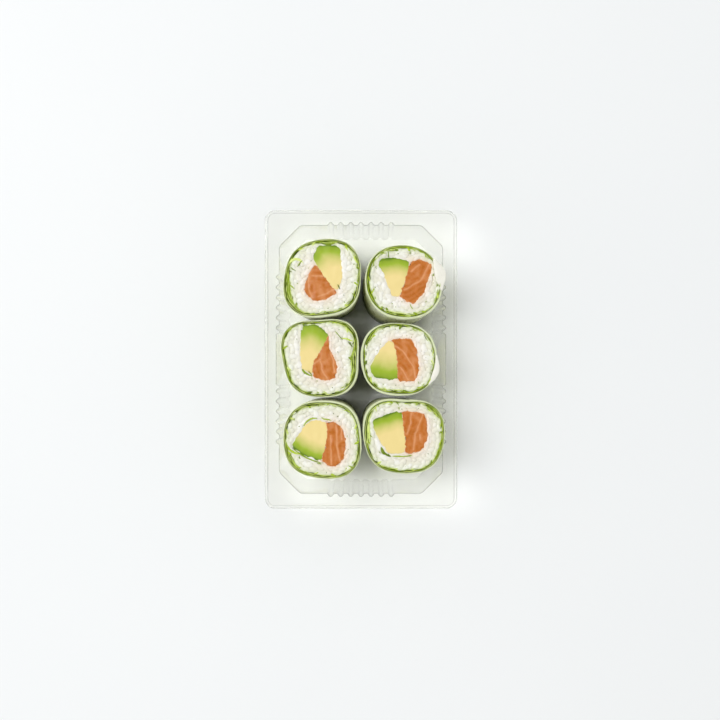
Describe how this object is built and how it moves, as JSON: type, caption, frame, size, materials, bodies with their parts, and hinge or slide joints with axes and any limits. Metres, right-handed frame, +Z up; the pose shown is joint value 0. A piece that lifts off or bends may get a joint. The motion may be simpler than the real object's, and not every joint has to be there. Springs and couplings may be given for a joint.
{
  "type": "takeaway sushi tray",
  "caption": "Clear fluted takeaway tray filled with cut rice-paper rolls on end, each with lettuce, rice, avocado and salmon",
  "frame": {"origin": "middle of the tray's footprint, on the surface it stands on", "axes": "+Z up out of the tray, +Y along the tray's long side, +X across it"},
  "size_m": [0.1024, 0.1586, 0.0429],
  "materials": {
    "clear_tray": "clear thermoformed sheet, glossy",
    "rice_paper": "soft moist wrapper, see-through over the leaf",
    "lettuce": "fresh leaf, satin",
    "rice": "cooked short-grain rice, moist",
    "avocado": "ripe flesh, green at the skin side, pale yellow inside",
    "salmon": "raw fish, moist, with pale fat lines"
  },
  "bodies": {
    "root": {"tray": "clear_tray", "rice_paper_1": "rice_paper", "lettuce_1": "lettuce", "rice_1": "rice", "avocado_1": "avocado", "salmon_1": "salmon", "rice_paper_2": "rice_paper", "lettuce_2": "lettuce", "rice_2": "rice", "avocado_2": "avocado", "salmon_2": "salmon", "rice_paper_3": "rice_paper", "lettuce_3": "lettuce", "rice_3": "rice", "avocado_3": "avocado", "salmon_3": "salmon", "rice_paper_4": "rice_paper", "lettuce_4": "lettuce", "rice_4": "rice", "avocado_4": "avocado", "salmon_4": "salmon", "rice_paper_5": "rice_paper", "lettuce_5": "lettuce", "rice_5": "rice", "avocado_5": "avocado", "salmon_5": "salmon", "rice_paper_6": "rice_paper", "lettuce_6": "lettuce", "rice_6": "rice", "avocado_6": "avocado", "salmon_6": "salmon"}
  },
  "joints": []
}
